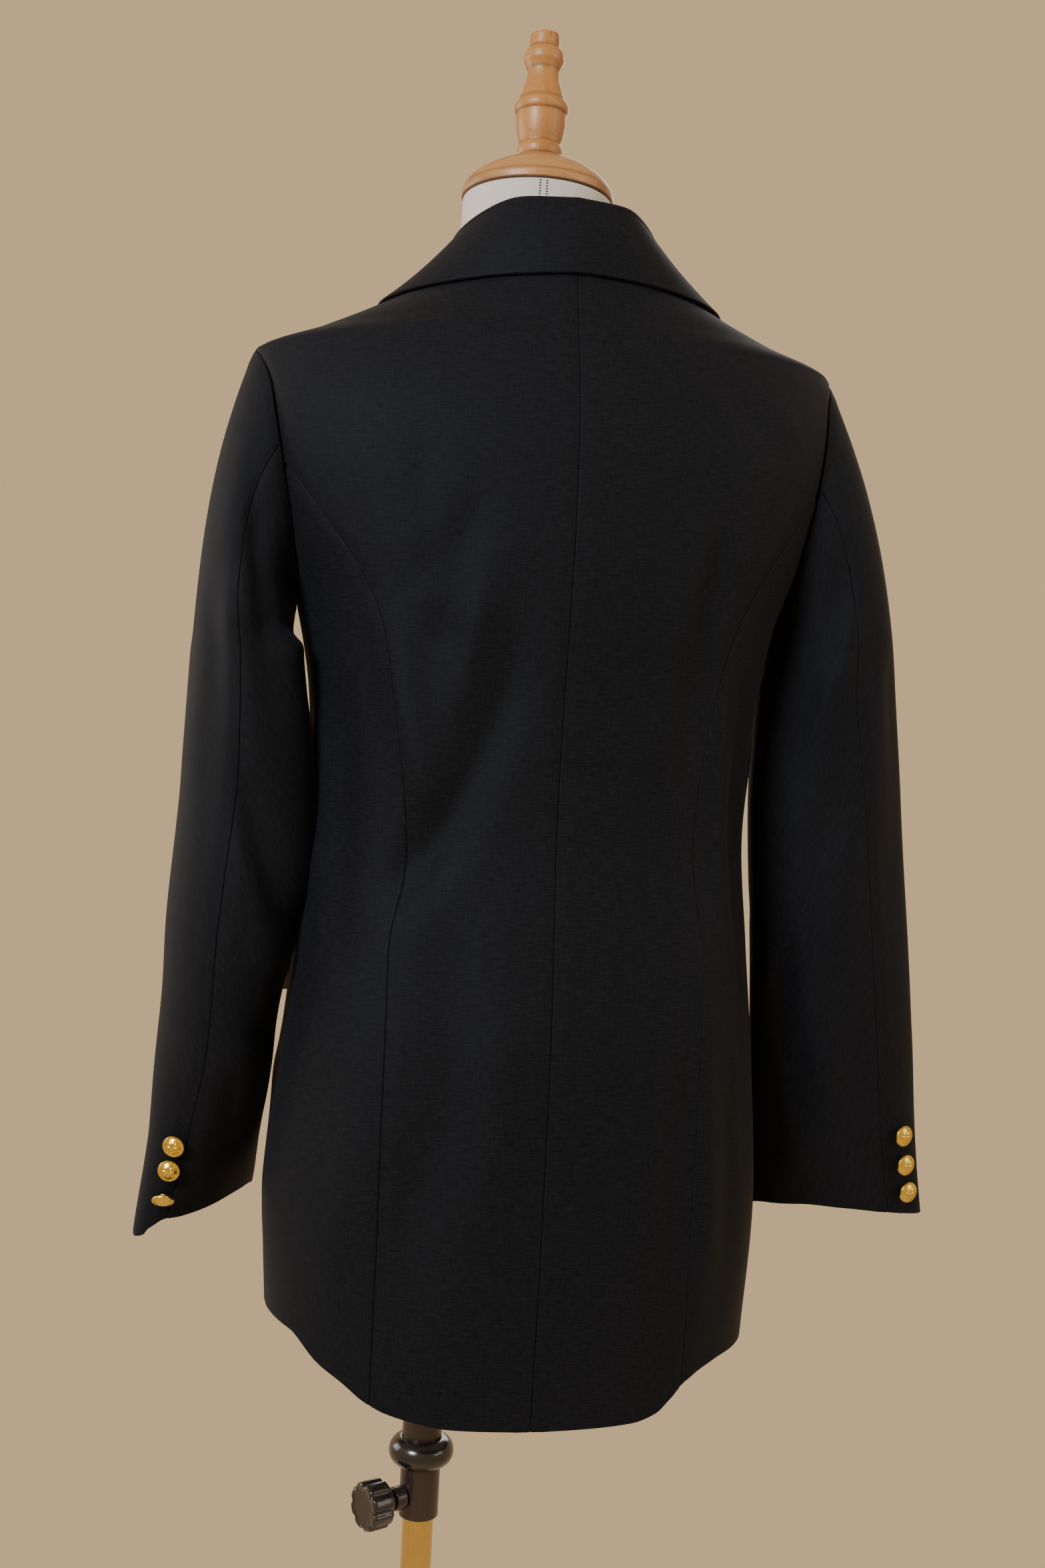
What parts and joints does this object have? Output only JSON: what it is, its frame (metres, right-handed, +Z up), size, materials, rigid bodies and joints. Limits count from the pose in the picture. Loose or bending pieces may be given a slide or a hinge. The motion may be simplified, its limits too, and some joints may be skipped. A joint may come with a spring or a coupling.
{
  "type": "blazer on a limbless dress form with a pole stand",
  "caption": "Tailored hip-length blazer with a notched collar and gold domed buttons, worn by a limbless dress form on a brass pole stand.",
  "frame": {"origin": "centre of the round base's underside, on the floor under the pole", "axes": "+Z up along the pole, -Y where the blazer's front faces, +X to the wearer's left"},
  "size_m": [0.5607, 0.344, 1.5772],
  "materials": {
    "suiting": "matte twill with a soft sheen",
    "gold_button": "polished gold",
    "jersey": "matte jersey",
    "wood": "satin lacquer",
    "dark_metal": "satin",
    "black_plastic": "gloss",
    "brass": "polished"
  },
  "bodies": {
    "stand": {"base": "brass", "pole": "brass"},
    "clamp": {"clamp_tube": "dark_metal", "clamp_ring": "black_plastic", "clamp_boss": "dark_metal"},
    "knob": {"clamp_knob": "black_plastic"},
    "worn_form": {"dress_form": "jersey", "neck_cap": "wood", "finial": "wood", "form_tube": "dark_metal", "back_left": "suiting", "back_right": "suiting", "side_back_left": "suiting", "side_back_right": "suiting", "front_left": "suiting", "front_right": "suiting", "lapel_left": "suiting", "lapel_right": "suiting", "collar": "suiting", "sleeve_top_left": "suiting", "sleeve_under_left": "suiting", "sleeve_top_right": "suiting", "sleeve_under_right": "suiting", "flap_left": "suiting", "flap_right": "suiting", "cuff_button_left_1": "gold_button", "cuff_button_left_2": "gold_button", "cuff_button_left_3": "gold_button", "cuff_button_right_1": "gold_button", "cuff_button_right_2": "gold_button", "cuff_button_right_3": "gold_button", "front_button": "gold_button"}
  },
  "joints": [
    {"name": "height_slide", "type": "slide", "parent": "stand", "child": "clamp", "axis": [0, 0, 1], "range_m": [-0.08, 0.2]},
    {"name": "form_swivel", "type": "hinge", "parent": "clamp", "child": "worn_form", "pos_m": [0, 0, 0.65], "axis": [0, 0, 1], "continuous": true},
    {"name": "knob_turn", "type": "hinge", "parent": "clamp", "child": "knob", "pos_m": [0, 0, 0.576], "axis": [0.8821, 0.4711, 0], "continuous": true}
  ]
}
